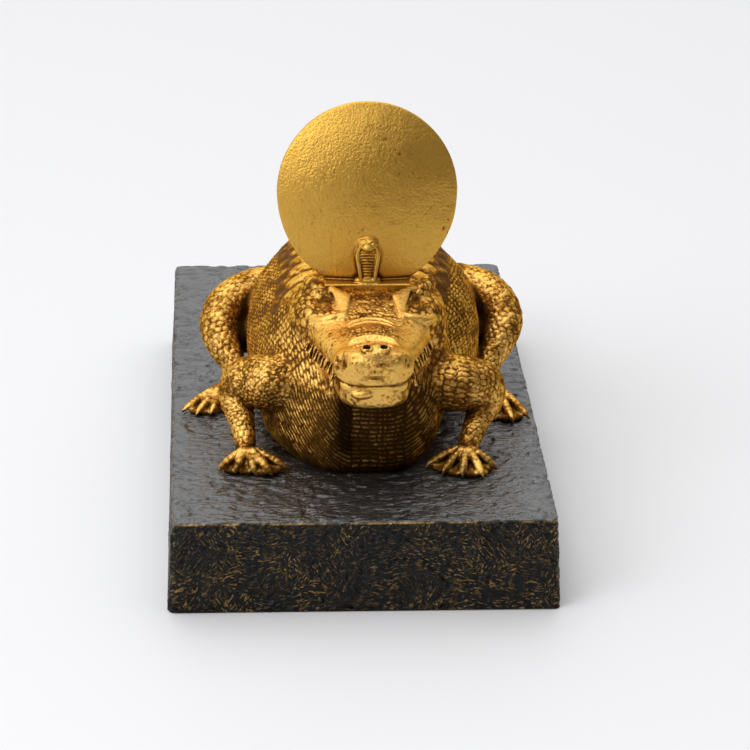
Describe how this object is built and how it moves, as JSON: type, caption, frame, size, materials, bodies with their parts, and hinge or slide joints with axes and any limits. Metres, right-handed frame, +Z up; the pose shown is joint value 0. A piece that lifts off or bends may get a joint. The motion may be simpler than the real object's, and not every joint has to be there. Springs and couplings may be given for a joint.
{
  "type": "sobek crocodile figure",
  "caption": "Gilt crocodile figure crouching on a dark rough-hewn plinth, with a sun disk and a rearing cobra on its head.",
  "frame": {"origin": "centre of the plinth's underside", "axes": "+Z up, the crocodile faces -Y, +Y along the plinth towards the tail, +X to the right of a viewer in front"},
  "size_m": [0.1112, 0.205, 0.1259],
  "materials": {
    "dark_stone_finish": "hand-painted black over chiselled relief, with worn bronze on the high places",
    "antique_gold": "gold paint over a dark brown wash that stays in the recesses",
    "satin_gold": "smooth satin gold paint with fine pits"
  },
  "bodies": {
    "root": {"plinth": "dark_stone_finish", "crocodile": "antique_gold", "sun_disk_crown": "satin_gold"}
  },
  "joints": []
}
